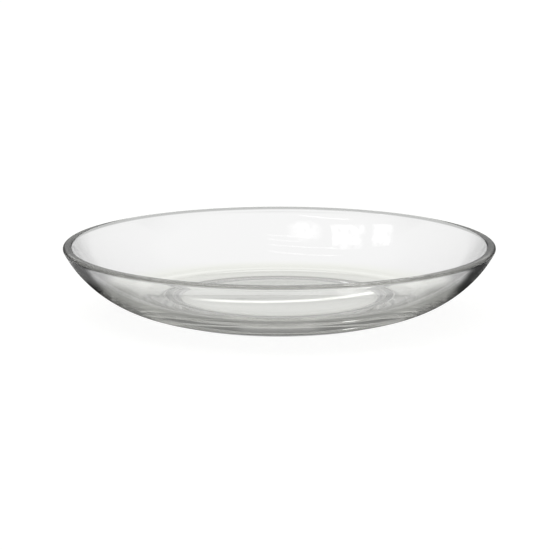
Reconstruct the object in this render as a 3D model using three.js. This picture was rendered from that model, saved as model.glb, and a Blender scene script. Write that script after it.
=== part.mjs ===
// A low, flared crystallizing dish pressed in one piece from clear soda-lime glass.
// Millimetres, +Z up. The origin is the centre of the foot, on the surface the dish stands on.
import * as THREE from 'three';

// Driving dimensions
const rimDiameter = 150;          // over the widest point of the rim
const dishHeight = 24;            // foot to rim crest
const footDiameter = 80;          // over the outside of the raised foot ring
const footWidth = 2.7;            // across the foot ring, square to its run
const footRise = 0.35;            // how far the foot ring stands below the outer wall
const recessDepth = 0.5;          // how far the underside inside the ring is set up from it
const baseThickness = 5.8;        // glass between the recess and the inner floor
const floorDiameter = 92;         // flat part of the inner floor
const wallThickness = 3.1;        // square to the wall, just under the rim
const rimOuterRound = 1.0;        // fire-polished edges of the rim
const rimInnerRound = 1.6;
const rimSlope = THREE.MathUtils.degToRad(60);    // lean of the wall at the rim, from horizontal
const footSlope = THREE.MathUtils.degToRad(6);    // lean of the outer wall where it meets the foot

// How gently the walls curve
const outerRun = 8.5;             // how far past the edge of the inner floor the outer wall still runs low
const floorTurn = 0.31;           // run of the inner wall along the floor, as a share of the way to the rim
const rimTurn = 0.36;             // run of both walls straight down from the rim, as the same share

// Facets
const turnSegments = 72;
const wallSteps = 16;
const roundSteps = 5;

// Values that follow from the driving dimensions
const footRadius = footDiameter / 2;
const recessRadius = footRadius - footWidth;
const floorRadius = floorDiameter / 2;
const floorHeight = recessDepth + baseThickness;

const point = (radius, height) => new THREE.Vector2(radius, height);
const direction = (angle) => point(Math.cos(angle), Math.sin(angle));

// Points along a circular arc, from one angle to another
function arcPoints(centre, radius, fromAngle, toAngle, steps) {
  return Array.from({ length: steps + 1 }, (_, i) => {
    const angle = fromAngle + (toAngle - fromAngle) * i / steps;
    return centre.clone().addScaledVector(direction(angle), radius);
  });
}

// A wall curve that leaves its low end along a given slope, for a given run, and climbs to the rim
function wallPoints(low, lowSlope, lowRun, high) {
  const highRun = low.distanceTo(high) * rimTurn;
  const lowHandle = low.clone().addScaledVector(direction(lowSlope), lowRun);
  const highHandle = high.clone().addScaledVector(direction(rimSlope), -highRun);
  return new THREE.CubicBezierCurve(low, lowHandle, highHandle, high).getPoints(wallSteps);
}

// The rim: a rounded outer edge, a narrow crest and a softer inner edge, one wall thickness apart
function rimPoints() {
  const outerCentre = point(rimDiameter / 2 - rimOuterRound, dishHeight - rimOuterRound);
  const outerEdge = arcPoints(outerCentre, rimOuterRound, rimSlope - Math.PI / 2, Math.PI / 2, roundSteps + 2);
  const intoGlass = direction(rimSlope - Math.PI / 2);
  const innerWall = outerEdge[0].clone().addScaledVector(intoGlass, -wallThickness);
  const roundCentreLine = innerWall.clone().addScaledVector(intoGlass, rimInnerRound);
  const climb = (dishHeight - rimInnerRound - roundCentreLine.y) / Math.sin(rimSlope);
  const innerCentre = roundCentreLine.addScaledVector(direction(rimSlope), climb);
  const innerEdge = arcPoints(innerCentre, rimInnerRound, Math.PI / 2, rimSlope + Math.PI / 2, roundSteps);
  return { outerEdge, innerEdge };
}

// Half section of the dish, from the middle of the recess round the outside to the middle of the floor
function sectionPoints() {
  const { outerEdge, innerEdge } = rimPoints();
  const recessCentre = point(recessRadius, recessDepth);
  const recessEdge = arcPoints(recessCentre, recessDepth, Math.PI, Math.PI * 1.5, roundSteps);
  const footCentre = point(footRadius - footRise, footRise);
  const footEdge = arcPoints(footCentre, footRise, -Math.PI / 2, 0, roundSteps);
  const outerLowRun = floorRadius - footRadius + outerRun;
  const outerWall = wallPoints(footEdge.at(-1), footSlope, outerLowRun, outerEdge[0]);
  const floorEdge = point(floorRadius, floorHeight);
  const innerLowRun = floorEdge.distanceTo(innerEdge.at(-1)) * floorTurn;
  const innerWall = wallPoints(floorEdge, 0, innerLowRun, innerEdge.at(-1)).reverse();
  return [
    point(0, recessDepth),
    ...recessEdge,
    ...footEdge,
    ...outerWall.slice(1, -1),
    ...outerEdge,
    ...innerEdge,
    ...innerWall.slice(1),
    point(0, floorHeight),
  ];
}

function makeDish() {
  const geometry = new THREE.LatheGeometry(sectionPoints(), turnSegments);
  geometry.rotateX(Math.PI / 2);
  const glass = new THREE.MeshStandardMaterial({ color: 0xeef3ee, roughness: 0.04, metalness: 0 });
  glass.transparent = true;
  glass.opacity = 0.35;
  const mesh = new THREE.Mesh(geometry, glass);
  mesh.name = 'dish';
  return mesh;
}

const crystallizingDish = new THREE.Group();
crystallizingDish.add(makeDish());

export default crystallizingDish;
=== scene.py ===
"""A pressed soda-lime crystallizing dish standing on a pale table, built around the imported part."""
import math

import bpy
import numpy as np
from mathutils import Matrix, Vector, noise


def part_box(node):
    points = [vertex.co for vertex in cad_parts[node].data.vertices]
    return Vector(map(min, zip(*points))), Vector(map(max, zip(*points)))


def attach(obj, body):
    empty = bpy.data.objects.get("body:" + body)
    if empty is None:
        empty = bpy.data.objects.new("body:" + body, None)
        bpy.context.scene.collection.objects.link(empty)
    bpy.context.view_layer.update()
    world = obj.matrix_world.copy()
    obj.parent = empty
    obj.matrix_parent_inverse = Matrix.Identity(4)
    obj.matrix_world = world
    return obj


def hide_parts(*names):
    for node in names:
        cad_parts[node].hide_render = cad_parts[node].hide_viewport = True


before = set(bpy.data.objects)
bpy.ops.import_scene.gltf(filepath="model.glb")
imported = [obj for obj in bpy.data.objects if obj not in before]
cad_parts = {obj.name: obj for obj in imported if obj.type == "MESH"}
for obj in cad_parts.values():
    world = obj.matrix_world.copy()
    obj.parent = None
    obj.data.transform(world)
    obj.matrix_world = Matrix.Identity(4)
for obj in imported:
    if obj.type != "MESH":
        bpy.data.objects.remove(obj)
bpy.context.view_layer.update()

MM = 0.001
WHITE = (1, 1, 1)

# The dish, in millimetres, as the part's source has it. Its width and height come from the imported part.
FOOT_DIAMETER = 80
FOOT_WIDTH = 2.7
FOOT_RISE = 0.35
RECESS_DEPTH = 0.5
BASE_THICKNESS = 5.8
FLOOR_DIAMETER = 92
WALL_THICKNESS = 3.1
RIM_OUTER_ROUND = 1.0
RIM_INNER_ROUND = 1.6
RIM_SLOPE = math.radians(60)
FOOT_SLOPE = math.radians(6)
OUTER_RUN = 8.5
FLOOR_TURN = 0.31
RIM_TURN = 0.36

# How finely the shown glass is divided
TURN_STEPS = 432
WALL_STEPS = 56
ROUND_STEPS = 9
OUTER_EDGE_STEPS = 12
FLOOR_STEPS = 10

# How often light may turn inside the glass, which carries it from the rim down the wall and across the base
LIGHT_BOUNCES = 40

# Refractive index of soda-lime glass, and how much it takes from red, green and blue light in each metre
GLASS_INDEX = 1.52
GLASS_LOSS = (2.35, 2.35, 2.6)

# The greyer band on top of the inner lip is painted shade, standing in for the dark that light turned back
# inside the rim gives there: where it starts and where it is whole, below the rim and in from it
LIP_PAINTED_SHADE = (0.36, 0.37, 0.36)
LIP_DEPTH = (0.75 * MM, 0.35 * MM)
LIP_INSET = (1.2 * MM, 1.8 * MM)

# The slow ripple of pressed walls, and the ground face of the foot ring
RIPPLE_SCALE = 95
RIPPLE_DETAIL = 1.5
RIPPLE_DEPTH = 0.1 * MM
RIPPLE_SHARE = 0.10
GROUND_EDGE = 0.3 * MM
GROUND_HEIGHT = (0.2 * MM, 0.05 * MM)
GROUND_ROUGHNESS = 0.25
GRAIN_ROUGHNESS = 0.2
GRAIN_SCALE = 2600
GRAIN_DETAIL = 3
RECESS_RADIUS = (FOOT_DIAMETER / 2 - FOOT_WIDTH) * MM


# ---------------------------------------------------------------- helpers

def grey(level):
    return (level, level, level)


def solid(colour):
    return (*colour, 1)


def add_object(name, data):
    made = bpy.data.objects.new(name, data)
    bpy.context.scene.collection.objects.link(made)
    return made


class Wire:
    """An output in a node tree. Arithmetic on it adds Math nodes; numbers alone stay numbers."""

    def __init__(self, sheet, socket):
        self.sheet = sheet
        self.socket = socket

    def maths(self, operation, *values):
        return self.sheet.maths(operation, *values)

    def __add__(self, other):
        return self.maths("ADD", self, other)

    def __sub__(self, other):
        return self.maths("SUBTRACT", self, other)

    def __rsub__(self, other):
        return self.maths("SUBTRACT", other, self)

    def __mul__(self, other):
        return self.maths("MULTIPLY", self, other)

    def __truediv__(self, other):
        return self.maths("DIVIDE", self, other)

    def __pow__(self, other):
        return self.maths("POWER", self, other)

    def __abs__(self):
        return self.maths("ABSOLUTE", self)

    __radd__ = __add__
    __rmul__ = __mul__

    def rise(self, start, end):
        """0 at start, 1 at end, and a smooth climb between them. start may be the larger one."""
        if start > end:
            return 1 - self.rise(end, start)
        settings = {"interpolation_type": "SMOOTHSTEP"}
        return self.sheet.node("ShaderNodeMapRange", settings, {0: self, 1: start, 2: end})


class Sheet:
    """The node tree of one material or world."""

    def __init__(self, owner):
        owner.use_nodes = True
        self.tree = owner.node_tree
        self.tree.nodes.clear()

    def node(self, kind, settings=None, inputs=None, output=0):
        """Adds a node: its settings first, then a value or a link for each socket named or numbered."""
        made = self.tree.nodes.new(kind)
        for name, value in (settings or {}).items():
            if name == "stops":
                self.set_stops(made.color_ramp, value)
            else:
                setattr(made, name, value)
        for key, value in (inputs or {}).items():
            if isinstance(value, Wire):
                self.tree.links.new(value.socket, made.inputs[key])
            else:
                made.inputs[key].default_value = value
        return Wire(self, made.outputs[output]) if made.outputs else made

    def maths(self, operation, *values):
        return self.node("ShaderNodeMath", {"operation": operation}, dict(enumerate(values)))

    def split(self, vector):
        """The three parts of a vector."""
        parts = self.node("ShaderNodeSeparateXYZ", {}, {0: vector}).socket.node
        return [Wire(self, part) for part in parts.outputs]

    def ramp(self, place, levels):
        """A grey level that runs through the given (place, level) stops."""
        stops = [(stop, grey(level)) for stop, level in levels]
        return self.node("ShaderNodeValToRGB", {"stops": stops}, {0: place})

    def mix_colour(self, share, first, second):
        return self.node("ShaderNodeMix", {"data_type": "RGBA"}, {0: share, 6: first, 7: second}, output=2)

    def set_stops(self, ramp, stops):
        while len(ramp.elements) < len(stops):
            ramp.elements.new(1)
        for element, (place, colour) in zip(ramp.elements, stops):
            element.position = place
            element.color = solid(colour)


# ---------------------------------------------------------------- the glass

def direction(angle):
    return np.array([math.cos(angle), math.sin(angle)])


def arc_points(centre, radius, from_angle, to_angle, steps):
    angles = np.linspace(from_angle, to_angle, steps + 1)
    return [centre + radius * direction(angle) for angle in angles]


def wall_points(low, low_slope, low_run, high):
    high_run = np.linalg.norm(high - low) * RIM_TURN
    low_handle = low + direction(low_slope) * low_run
    high_handle = high - direction(RIM_SLOPE) * high_run
    points = []
    for t in np.linspace(0, 1, WALL_STEPS + 1):
        s = 1 - t
        points.append(s**3 * low + 3 * s * s * t * low_handle + 3 * s * t * t * high_handle + t**3 * high)
    return points


def rim_points(rim_radius, height):
    outer_centre = np.array([rim_radius - RIM_OUTER_ROUND, height - RIM_OUTER_ROUND])
    outward = RIM_SLOPE - math.pi / 2
    outer_edge = arc_points(outer_centre, RIM_OUTER_ROUND, outward, math.pi / 2, OUTER_EDGE_STEPS)
    into_glass = direction(outward)
    inner_wall = outer_edge[0] - into_glass * WALL_THICKNESS
    round_line = inner_wall + into_glass * RIM_INNER_ROUND
    climb = (height - RIM_INNER_ROUND - round_line[1]) / math.sin(RIM_SLOPE)
    inner_centre = round_line + direction(RIM_SLOPE) * climb
    inner_edge = arc_points(inner_centre, RIM_INNER_ROUND, math.pi / 2, RIM_SLOPE + math.pi / 2, ROUND_STEPS)
    return outer_edge, inner_edge


def section_points(rim_radius, height):
    """Half section of the dish, from the middle of the recess round the outside to the floor's middle."""
    foot_radius = FOOT_DIAMETER / 2
    recess_radius = foot_radius - FOOT_WIDTH
    floor_radius = FLOOR_DIAMETER / 2
    floor_height = RECESS_DEPTH + BASE_THICKNESS
    outer_edge, inner_edge = rim_points(rim_radius, height)
    recess_centre = np.array([recess_radius, RECESS_DEPTH])
    recess_edge = arc_points(recess_centre, RECESS_DEPTH, math.pi, math.pi * 1.5, ROUND_STEPS)
    foot_centre = np.array([foot_radius - FOOT_RISE, FOOT_RISE])
    foot_edge = arc_points(foot_centre, FOOT_RISE, -math.pi / 2, 0, ROUND_STEPS)
    outer_low_run = floor_radius - foot_radius + OUTER_RUN
    outer_wall = wall_points(foot_edge[-1], FOOT_SLOPE, outer_low_run, outer_edge[0])
    floor_edge = np.array([floor_radius, floor_height])
    inner_low_run = np.linalg.norm(inner_edge[-1] - floor_edge) * FLOOR_TURN
    inner_wall = wall_points(floor_edge, 0, inner_low_run, inner_edge[-1])[::-1]
    recess = [np.array([r, RECESS_DEPTH]) for r in np.linspace(0, recess_edge[0][0], FLOOR_STEPS + 1)[:-1]]
    floor = [np.array([r, floor_height]) for r in np.linspace(floor_radius, 0, FLOOR_STEPS + 1)[1:]]
    return np.array([*recess, *recess_edge, *foot_edge, *outer_wall[1:-1], *outer_edge, *inner_edge,
                     *inner_wall[1:], *floor])


def turned_mesh(name, section):
    """Turns a half section that starts and ends on the axis into one closed mesh."""
    angles = np.arange(TURN_STEPS) * 2 * math.pi / TURN_STEPS
    around = np.stack([np.cos(angles), np.sin(angles)], 1)
    rings = section[1:-1]
    points = [(0.0, 0.0, section[0][1])]
    for radius, height in rings:
        points += [(radius * c, radius * s, height) for c, s in around]
    points.append((0.0, 0.0, section[-1][1]))
    last = len(points) - 1
    faces = []
    for k in range(TURN_STEPS):
        nxt = (k + 1) % TURN_STEPS
        faces.append((0, 1 + nxt, 1 + k))
        for ring in range(len(rings) - 1):
            low = 1 + ring * TURN_STEPS
            high = low + TURN_STEPS
            faces.append((low + k, low + nxt, high + nxt, high + k))
        top = 1 + (len(rings) - 1) * TURN_STEPS
        faces.append((last, top + k, top + nxt))
    mesh = bpy.data.meshes.new(name)
    mesh.from_pydata(points, [], faces)
    mesh.update()
    return mesh


def make_dish(rim_radius, height):
    section = section_points(rim_radius / MM, height / MM) * MM
    mesh = turned_mesh("dish_glass", section)
    mesh.polygons.foreach_set("use_smooth", [True] * len(mesh.polygons))
    return add_object("dish_glass", mesh)


def glass_material(rim_radius, height):
    """Clear soda-lime: a greyer inner lip of painted shade, the slow ripple of pressed walls and a ground
    foot.
    """
    material = bpy.data.materials.new("pressed soda-lime glass")
    sheet = Sheet(material)
    place = sheet.node("ShaderNodeNewGeometry", output="Position")
    across, back, up = sheet.split(place)
    radius = (across * across + back * back) ** 0.5
    # Painted shade: the band at the top of the inner lip is greyed in the glass's own colour
    near_top = up.rise(height - LIP_DEPTH[0], height - LIP_DEPTH[1])
    lip = near_top * radius.rise(rim_radius - LIP_INSET[0], rim_radius - LIP_INSET[1])
    painted_lip_shade = sheet.mix_colour(lip, solid(WHITE), solid(LIP_PAINTED_SHADE))
    foot = radius.rise(RECESS_RADIUS, RECESS_RADIUS + GROUND_EDGE) * up.rise(*GROUND_HEIGHT)
    grain = sheet.node("ShaderNodeTexNoise", {}, {
        "Vector": place,
        "Scale": GRAIN_SCALE,
        "Detail": GRAIN_DETAIL,
    })
    ground = foot * (GROUND_ROUGHNESS + GRAIN_ROUGHNESS * grain)
    ripple = sheet.node("ShaderNodeTexNoise", {}, {
        "Vector": place,
        "Scale": RIPPLE_SCALE,
        "Detail": RIPPLE_DETAIL,
    })
    bump = sheet.node("ShaderNodeBump", {}, {
        "Strength": RIPPLE_SHARE,
        "Distance": RIPPLE_DEPTH,
        "Height": ripple,
    })
    surface = sheet.node("ShaderNodeBsdfPrincipled", {}, {
        "Base Color": painted_lip_shade,
        "Transmission Weight": 1,
        "Roughness": ground,
        "IOR": GLASS_INDEX,
        "Normal": bump,
    })
    densest = max(GLASS_LOSS)
    colour = [1 - loss / densest for loss in GLASS_LOSS]
    body = sheet.node("ShaderNodeVolumeAbsorption", {}, {"Color": solid(colour), "Density": densest})
    sheet.node("ShaderNodeOutputMaterial", {}, {"Surface": surface, "Volume": body})
    return material


# ---------------------------------------------------------------- table, surroundings and light

# What the glass sees round the table: dim walls and a paler ceiling. A stop is (sine of the height, level).
WALL_LEVELS = [
    (0.00, 0.12), (0.04, 0.22), (0.09, 0.10), (0.15, 0.12), (0.18, 0.36), (0.24, 0.45),
    (0.30, 0.54), (0.55, 0.55), (0.70, 0.60), (0.80, 0.75), (1.00, 0.72),
]
# A white board stands behind each side of the table, and over it the wall is dark
BOARD_LEVELS = [
    (0.00, 0.14), (0.04, 0.36), (0.14, 0.40), (0.17, 0.76), (0.23, 0.80), (0.26, 0.92), (0.33, 0.90),
    (0.37, 0.45), (0.50, 0.20), (0.60, 0.25), (0.70, 0.50), (0.82, 0.78), (1.00, 0.72),
]
BOARD_EDGE = (0.19, 0.12)         # how far to its side a board reaches, as the sine of an angle
# A dark gap low in the boards, which only light that has turned inside the glass sees
GAP_FOOT = (0.14, 0.16)
GAP_TOP = (0.27, 0.23)
GAP_SHARE = 0.42
GAP_LEVEL = 0.05

# The table as the glass sees it, in front of the dish, beside it and behind it, with the dish's shadow
# painted in. A stop is (millimetres from the middle, level). Under the foot ring, and under the wall in
# front, it is dark with painted shade, and far off it falls away to the dim room.
TABLE_RUN = 250 * MM              # how far out the lists run
FRONT_LEVELS = [
    (0, 0.67), (20, 0.69), (28, 0.72), (36.6, 0.77), (38, 0.44), (40, 0.38), (41.5, 0.20), (45, 0.17),
    (50, 0.19), (54, 0.30), (61, 0.30), (67, 0.58), (78, 0.90), (190, 0.90), (235, 0.10), (250, 0.08),
]
SIDE_LEVELS = [
    (0, 0.65), (24, 0.68), (36.4, 0.68), (38, 0.18), (40.3, 0.18), (42, 0.62), (50, 0.62), (54, 0.42),
    (62, 0.40), (72, 0.43), (80, 0.80), (190, 0.90), (235, 0.10), (250, 0.08),
]
BACK_LEVELS = [
    (0, 0.70), (20, 0.75), (28, 0.92), (36.6, 0.88), (38.4, 0.45), (40.4, 0.50), (42, 0.95), (50, 1.04),
    (57, 0.95), (190, 0.95), (235, 0.10), (250, 0.08),
]
# Where the side's levels give way to the others, as a place's share of back in its distance
BACK_SHARE = (-0.1, 0.7)
FRONT_SHARE = (-0.3, -1.0)
STRAIGHT_LIFT = 0.75              # how far straight light sees the back's levels all round instead
FEW_FACES = (3, 2)                # light that has crossed two faces of the glass at most, not three or more

# Painted dark patches on the table at the two sides, which the glass shows as dark streaks at its ends, from
# a little before the middle of the dish to well behind it
SIDE_NEAR = (60 * MM, 70 * MM)
SIDE_FAR = (120 * MM, 108 * MM)
SIDE_FRONT = (-14 * MM, 4 * MM)
SIDE_BACK = (84 * MM, 66 * MM)
SIDE_DARK = {"left": 0.12, "right": 0.04}

# A painted reflection of the dark gap between table and wall, as the outer face mirrors it at a glance:
# painted shade over all that lies under the base, and what lies under the wall, apart from the front
UNDER_WALL = (84 * MM, 70 * MM)
UNDER_BASE = (50 * MM, 43 * MM)
UNDER_SIDES = (-0.7, -0.35)
UNDER_LEVEL = 0.04

# A painted line of light: the bright curved caustic painted on the table under the base
ARC_CENTRE = (-8 * MM, 44.5 * MM)
ARC_RADIUS = 55 * MM
ARC_HALF_WIDTH = 4.0 * MM
ARC_INSIDE = (38 * MM, 31 * MM)
ARC_LEFT_END = (-36 * MM, -16 * MM)
ARC_BACK_END = (24 * MM, 4 * MM)
ARC_GLOW = 1.65

# The table itself. The camera sees mostly plain white, with a share of the table's own light and shadow.
TABLE_WARMTH = (0.99, 1.0, 0.945)
WARM_EDGE = (62 * MM, 80 * MM)    # where the table's own colour gives way to white, as the glass sees it
TABLE_HALF = 6.0
TABLE_DROP = 0.1 * MM
TABLE_WHITE = 1.01                # how bright the camera sees it away from the dish, a touch over plain white
SHADOW_SHARE = 0.2
OPEN_TABLE = 0.63                 # the table's own brightness there
# The painted contact shadow: the dark line where the foot meets the table, as the camera sees it
CONTACT_EDGE = ((FOOT_DIAMETER / 2 + 1.1) * MM, (FOOT_DIAMETER / 2 + 0.3) * MM)
CONTACT_LEVEL = 0.2
CONTACT_SHARE = 0.7


def make_world():
    """Plain white to the camera. The glass sees dim walls, white boards and a pale ceiling."""
    world = bpy.data.worlds.new("studio")
    bpy.context.scene.world = world
    sheet = Sheet(world)
    across, back, height = sheet.split(sheet.node("ShaderNodeTexCoord", output="Generated"))
    level = (across * across + back * back) ** 0.5
    walls = sheet.ramp(height, WALL_LEVELS)
    boards = sheet.ramp(height, BOARD_LEVELS)
    aside = sheet.maths("MINIMUM", abs(across), abs(back)) / level
    colour = sheet.mix_colour(aside.rise(*BOARD_EDGE), walls, boards)
    turned = sheet.node("ShaderNodeLightPath", output="Glossy Depth").rise(0, 1)
    few = sheet.node("ShaderNodeLightPath", output="Transmission Depth").rise(*FEW_FACES)
    gap = turned * few * height.rise(*GAP_FOOT) * height.rise(*GAP_TOP)
    colour = sheet.mix_colour(gap * GAP_SHARE, colour, solid(grey(GAP_LEVEL)))
    seen = sheet.node("ShaderNodeLightPath", output="Is Camera Ray")
    colour = sheet.mix_colour(seen, colour, solid(WHITE))
    sky = sheet.node("ShaderNodeBackground", {}, {"Color": colour, "Strength": 1})
    sheet.node("ShaderNodeOutputWorld", {}, {"Surface": sky})


def painted_table_shade(sheet, across, back, radius):
    """Painted shade on the table as the glass sees it, which depends on how the light has gone through the
    glass: the dish's painted shadow, painted dark patches at the sides and a painted reflection of the gap
    under the wall.
    """
    place = radius / TABLE_RUN
    front, side, behind = [sheet.ramp(place, [(mm * MM / TABLE_RUN, level) for mm, level in levels])
                           for levels in (FRONT_LEVELS, SIDE_LEVELS, BACK_LEVELS)]
    facing = back / radius
    shade = sheet.mix_colour(facing.rise(*BACK_SHARE), side, behind)
    shade = sheet.mix_colour(facing.rise(*FRONT_SHARE), shade, front)
    turned = sheet.node("ShaderNodeLightPath", output="Glossy Depth").rise(0, 1)
    faces = sheet.node("ShaderNodeLightPath", output="Transmission Depth")
    few = faces.rise(*FEW_FACES)
    shade = sheet.mix_colour((1 - turned) * few * STRAIGHT_LIFT, shade, behind)
    aside = abs(across)
    # Painted shade: dark patches at the two sides, for light that has turned inside the glass or crossed many
    # faces
    patch = aside.rise(*SIDE_NEAR) * aside.rise(*SIDE_FAR) * back.rise(*SIDE_FRONT) * back.rise(*SIDE_BACK)
    right = across.rise(-SIDE_NEAR[0], SIDE_NEAR[0])
    dark = sheet.mix_colour(right, solid(grey(SIDE_DARK["left"])), solid(grey(SIDE_DARK["right"])))
    shade = sheet.mix_colour(patch * sheet.maths("MAXIMUM", turned, 1 - few), shade, dark)
    # Painted reflection: the shaded gap under the dish, for light reflected off the outer face without
    # entering the glass
    glance = sheet.maths("MAXIMUM", facing.rise(*UNDER_SIDES), radius.rise(*UNDER_BASE))
    outside = turned * faces.rise(1, 0) * radius.rise(*UNDER_WALL) * glance
    return sheet.mix_colour(outside, shade, solid(grey(UNDER_LEVEL)))


def painted_line_of_light(across, back, radius):
    """1 along the painted line of light under the base."""
    from_line = ((across - ARC_CENTRE[0]) ** 2 + (back - ARC_CENTRE[1]) ** 2) ** 0.5 - ARC_RADIUS
    line = abs(from_line).rise(ARC_HALF_WIDTH, 0) * radius.rise(*ARC_INSIDE)
    return line * across.rise(*ARC_LEFT_END) * back.rise(*ARC_BACK_END)


def table_material():
    """White to the camera, less a share of the dish's shadow and a painted contact shadow at the foot. Glass
    sees the table's painted shade and painted line of light.
    """
    material = bpy.data.materials.new("pale table")
    sheet = Sheet(material)
    across, back = sheet.split(sheet.node("ShaderNodeNewGeometry", output="Position"))[:2]
    radius = (across * across + back * back) ** 0.5
    colour = sheet.mix_colour(radius.rise(*WARM_EDGE), solid(TABLE_WARMTH), solid(WHITE))
    colour = sheet.node("ShaderNodeMix", {"data_type": "RGBA", "blend_type": "MULTIPLY"}, {
        0: 1,
        6: colour,
        7: painted_table_shade(sheet, across, back, radius),
    }, output=2)
    # The table's glow for the glass carries the painted shade and the painted line of light
    seen_by_glass = sheet.node("ShaderNodeEmission", {}, {
        "Color": colour,
        "Strength": 1 + painted_line_of_light(across, back, radius) * ARC_GLOW,
    })
    white = sheet.node("ShaderNodeEmission", {}, {
        "Color": solid(WHITE),
        "Strength": (TABLE_WHITE - SHADOW_SHARE * OPEN_TABLE) / (1 - SHADOW_SHARE),
    })
    lit = sheet.node("ShaderNodeBsdfDiffuse", {}, {"Color": solid(TABLE_WARMTH)})
    seen = sheet.node("ShaderNodeMixShader", {}, {0: SHADOW_SHARE, 1: white, 2: lit})
    # Painted shadow: a dark line on the table round the foot
    painted_contact_shadow = sheet.node("ShaderNodeEmission", {}, {"Color": solid(grey(CONTACT_LEVEL)), "Strength": 1})
    near_foot = radius.rise(*CONTACT_EDGE) * CONTACT_SHARE
    seen = sheet.node("ShaderNodeMixShader", {}, {0: near_foot, 1: seen, 2: painted_contact_shadow})
    camera = sheet.node("ShaderNodeLightPath", output="Is Camera Ray")
    glossy = sheet.node("ShaderNodeLightPath", output="Is Glossy Ray")
    passing = sheet.node("ShaderNodeLightPath", output="Is Transmission Ray")
    through = sheet.maths("MAXIMUM", glossy, passing)
    plain = sheet.node("ShaderNodeMixShader", {}, {0: camera, 1: lit, 2: seen})
    surface = sheet.node("ShaderNodeMixShader", {}, {0: through * (1 - camera), 1: plain, 2: seen_by_glass})
    sheet.node("ShaderNodeOutputMaterial", {}, {"Surface": surface})
    return material


def make_table():
    corners = [(x * TABLE_HALF, y * TABLE_HALF, -TABLE_DROP) for x, y in ((-1, -1), (1, -1), (1, 1), (-1, 1))]
    mesh = bpy.data.meshes.new("table")
    mesh.from_pydata(corners, [], [(0, 1, 2, 3)])
    mesh.update()
    mesh.materials.append(table_material())
    return add_object("table", mesh)


# The windows overhead and the strip lights round them, which only reflections show. Each has four corners on
# the ceiling, in ceiling heights from a point over the dish. u runs from the first corner to the second, and
# v from the first to the fourth.
CEILING = 1.2
WINDOWS = {
    "left": [(-0.04, -0.47), (-0.34, -0.45), (-0.25, 0.03), (-0.03, 0.0)],
    "middle": [(-0.37, -0.30), (-0.66, -0.20), (-0.43, 0.22), (-0.26, 0.15)],
    "right": [(-0.74, -0.17), (-0.94, -0.04), (-0.66, 0.31), (-0.51, 0.21)],
}
TUBES = {
    "front": [(-0.14, -0.62), (-0.62, -0.37), (-0.61, -0.34), (-0.14, -0.58)],
    "under_left": [(0.08, -0.12), (-0.12, -0.06), (-0.12, -0.02), (0.07, -0.08)],
    "back": [(0.06, 0.11), (-0.30, 0.28), (-0.30, 0.31), (0.06, 0.15)],
}
WINDOW_GLOW = 1.9
TUBE_GLOW = 2.0
PANE_STEPS = 24
PANE_FADE = 0.85                  # how much of the round window's half width its edge fades over
RAGGED_SHARE = 1.6                # how uneven the light of a window is
RAGGED_ACROSS = 7
RAGGED_ALONG = 5

# The soft panels that the table's shadow comes from: centre, size and brightness
SOFT_PANELS = {
    "soft_left": ((-0.6, -0.1, CEILING), (0.7, 0.8), 2.0),
    "soft_right": ((0.5, 0.2, CEILING), (0.7, 0.8), 1.0),
}


def soft_bar(t, start, end, soft):
    """1 between start and end, falling to 0 over soft outside them."""
    inside = min(t - start, end - t)
    return min(max(inside / soft + 1, 0), 1)


def round_pane(u, v):
    return min(max((1 - math.hypot(2 * u - 1, 2 * v - 1)) / PANE_FADE, 0), 1)


def barred_pane(u, v):
    """A pane with a dark bar across its middle that stops at the frame."""
    upper = soft_bar(v, 0.14, 0.30, 0.26) * soft_bar(u, 0.18, 0.76, 0.30)
    lower = soft_bar(v, 0.74, 0.86, 0.26) * soft_bar(u, 0.14, 0.72, 0.32)
    side = soft_bar(v, 0.16, 0.84, 0.24) * soft_bar(u, 0.16, 0.38, 0.26)
    return max(upper, lower, side)


def tube(u, v):
    return soft_bar(u, 0.15, 0.85, 0.15) * soft_bar(v, 0.4, 0.6, 0.4)


def pane_points(corners):
    """A grid of (u, v, x, y) between a pane's four corners on the ceiling."""
    first, second, third, fourth = [np.array(corner) * CEILING for corner in corners]
    grid = []
    for j in range(PANE_STEPS + 1):
        for i in range(PANE_STEPS + 1):
            u = i / PANE_STEPS
            v = j / PANE_STEPS
            near = first * (1 - u) + second * u
            far = fourth * (1 - u) + third * u
            grid.append((u, v, *(near * (1 - v) + far * v)))
    return grid


def pane_material(name):
    """Adds the light that its mesh carries as glow, and lets everything else through."""
    material = bpy.data.materials.new(name)
    sheet = Sheet(material)
    glow = sheet.node("ShaderNodeAttribute", {"attribute_name": "glow"}, output="Fac")
    light = sheet.node("ShaderNodeEmission", {}, {"Color": solid(WHITE), "Strength": glow})
    clear = sheet.node("ShaderNodeBsdfTransparent")
    surface = sheet.node("ShaderNodeAddShader", {}, {0: light, 1: clear})
    sheet.node("ShaderNodeOutputMaterial", {}, {"Surface": surface})
    material.cycles.emission_sampling = "NONE"
    return material


def make_pane(name, corners, glow, pattern, seed):
    """One light on the ceiling, brighter or dimmer from point to point, which only reflections show."""
    grid = pane_points(corners)
    levels = []
    for u, v, x, y in grid:
        ragged = 1 + RAGGED_SHARE * noise.noise((RAGGED_ACROSS * u + seed, RAGGED_ALONG * v, seed))
        levels.append(glow * max(pattern(u, v) * ragged, 0))
    row = PANE_STEPS + 1
    corner_points = [j * row + i for j in range(PANE_STEPS) for i in range(PANE_STEPS)]
    mesh = bpy.data.meshes.new(name)
    mesh.from_pydata([(x, y, CEILING) for u, v, x, y in grid], [],
                     [(k, k + 1, k + 1 + row, k + row) for k in corner_points])
    mesh.update()
    mesh.attributes.new("glow", "FLOAT", "POINT").data.foreach_set("value", levels)
    mesh.materials.append(pane_material(name))
    pane = add_object(name, mesh)
    pane.visible_camera = False
    pane.visible_diffuse = False
    pane.visible_shadow = False
    return pane


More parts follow.
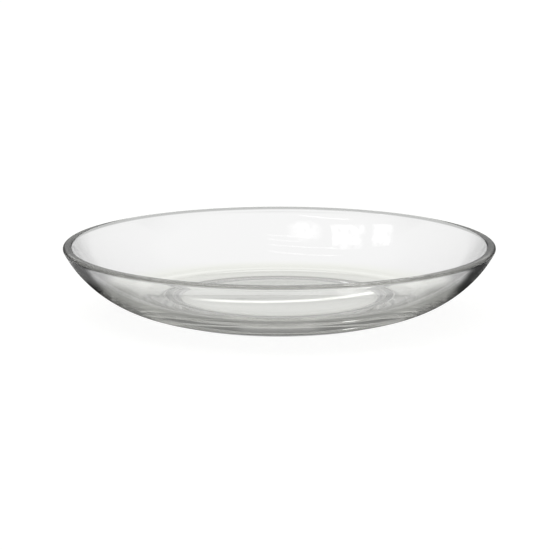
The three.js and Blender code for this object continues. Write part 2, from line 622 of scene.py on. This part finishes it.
def make_panes():
    panes = []
    for seed, (name, corners) in enumerate(WINDOWS.items(), 1):
        pattern = round_pane if name == "left" else barred_pane
        panes.append(make_pane("window_" + name, corners, WINDOW_GLOW, pattern, seed))
    for seed, (name, corners) in enumerate(TUBES.items(), 5):
        panes.append(make_pane("tube_" + name, corners, TUBE_GLOW, tube, seed))
    return panes


def make_lamp(name, centre, size, brightness):
    """A soft panel that faces down, as bright as said. Only the table's own light shows it."""
    lamp = bpy.data.lights.new(name, "AREA")
    lamp.shape = "RECTANGLE"
    lamp.size, lamp.size_y = size
    lamp.energy = brightness * math.pi * size[0] * size[1]
    made = add_object(name, lamp)
    made.location = centre
    made.visible_camera = False
    made.visible_glossy = False
    made.visible_transmission = False


# The camera looks from a little above the rim through a long lens. Its distance is from the rim's middle.
SENSOR_WIDTH = 36
CAMERA_DISTANCE = 2.25
CAMERA_ELEVATION = math.radians(10.69)
RIM_SHARE = 0.788                 # share of the frame's width that the rim fills
AIM_RIGHT = -1.5 * MM
AIM_DOWN = 10.58 * MM


def make_camera(rim_radius, height):
    crest = Vector((0, 0, height))
    back = Vector((0, -math.cos(CAMERA_ELEVATION), math.sin(CAMERA_ELEVATION)))
    camera = add_object("camera", bpy.data.cameras.new("camera"))
    bpy.context.scene.camera = camera
    camera.location = crest + back * CAMERA_DISTANCE
    aim = crest + Vector((AIM_RIGHT, 0, 0)) - Vector((0, 0, 1)) * AIM_DOWN
    camera.rotation_mode = "QUATERNION"
    camera.rotation_quaternion = (aim - camera.location).to_track_quat("-Z", "Y")
    lens = camera.data
    lens.sensor_width = SENSOR_WIDTH
    nearest = math.sqrt(CAMERA_DISTANCE**2 - (rim_radius * math.cos(CAMERA_ELEVATION))**2)
    lens.lens = SENSOR_WIDTH * RIM_SHARE * nearest / (2 * rim_radius)
    lens.clip_start = 0.01
    lens.clip_end = 100


low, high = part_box("dish")
rim_radius = (high.x - low.x) / 2
dish = make_dish(rim_radius, high.z)
dish.data.materials.append(glass_material(rim_radius, high.z))
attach(dish, "root")
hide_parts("dish")
make_world()
table = make_table()
make_panes()
for name, (centre, size, brightness) in SOFT_PANELS.items():
    make_lamp(name, centre, size, brightness)
make_camera(rim_radius, high.z)

scene = bpy.context.scene
scene.view_settings.view_transform = "Standard"
scene.cycles.max_bounces = LIGHT_BOUNCES
scene.cycles.glossy_bounces = LIGHT_BOUNCES
scene.cycles.transmission_bounces = LIGHT_BOUNCES
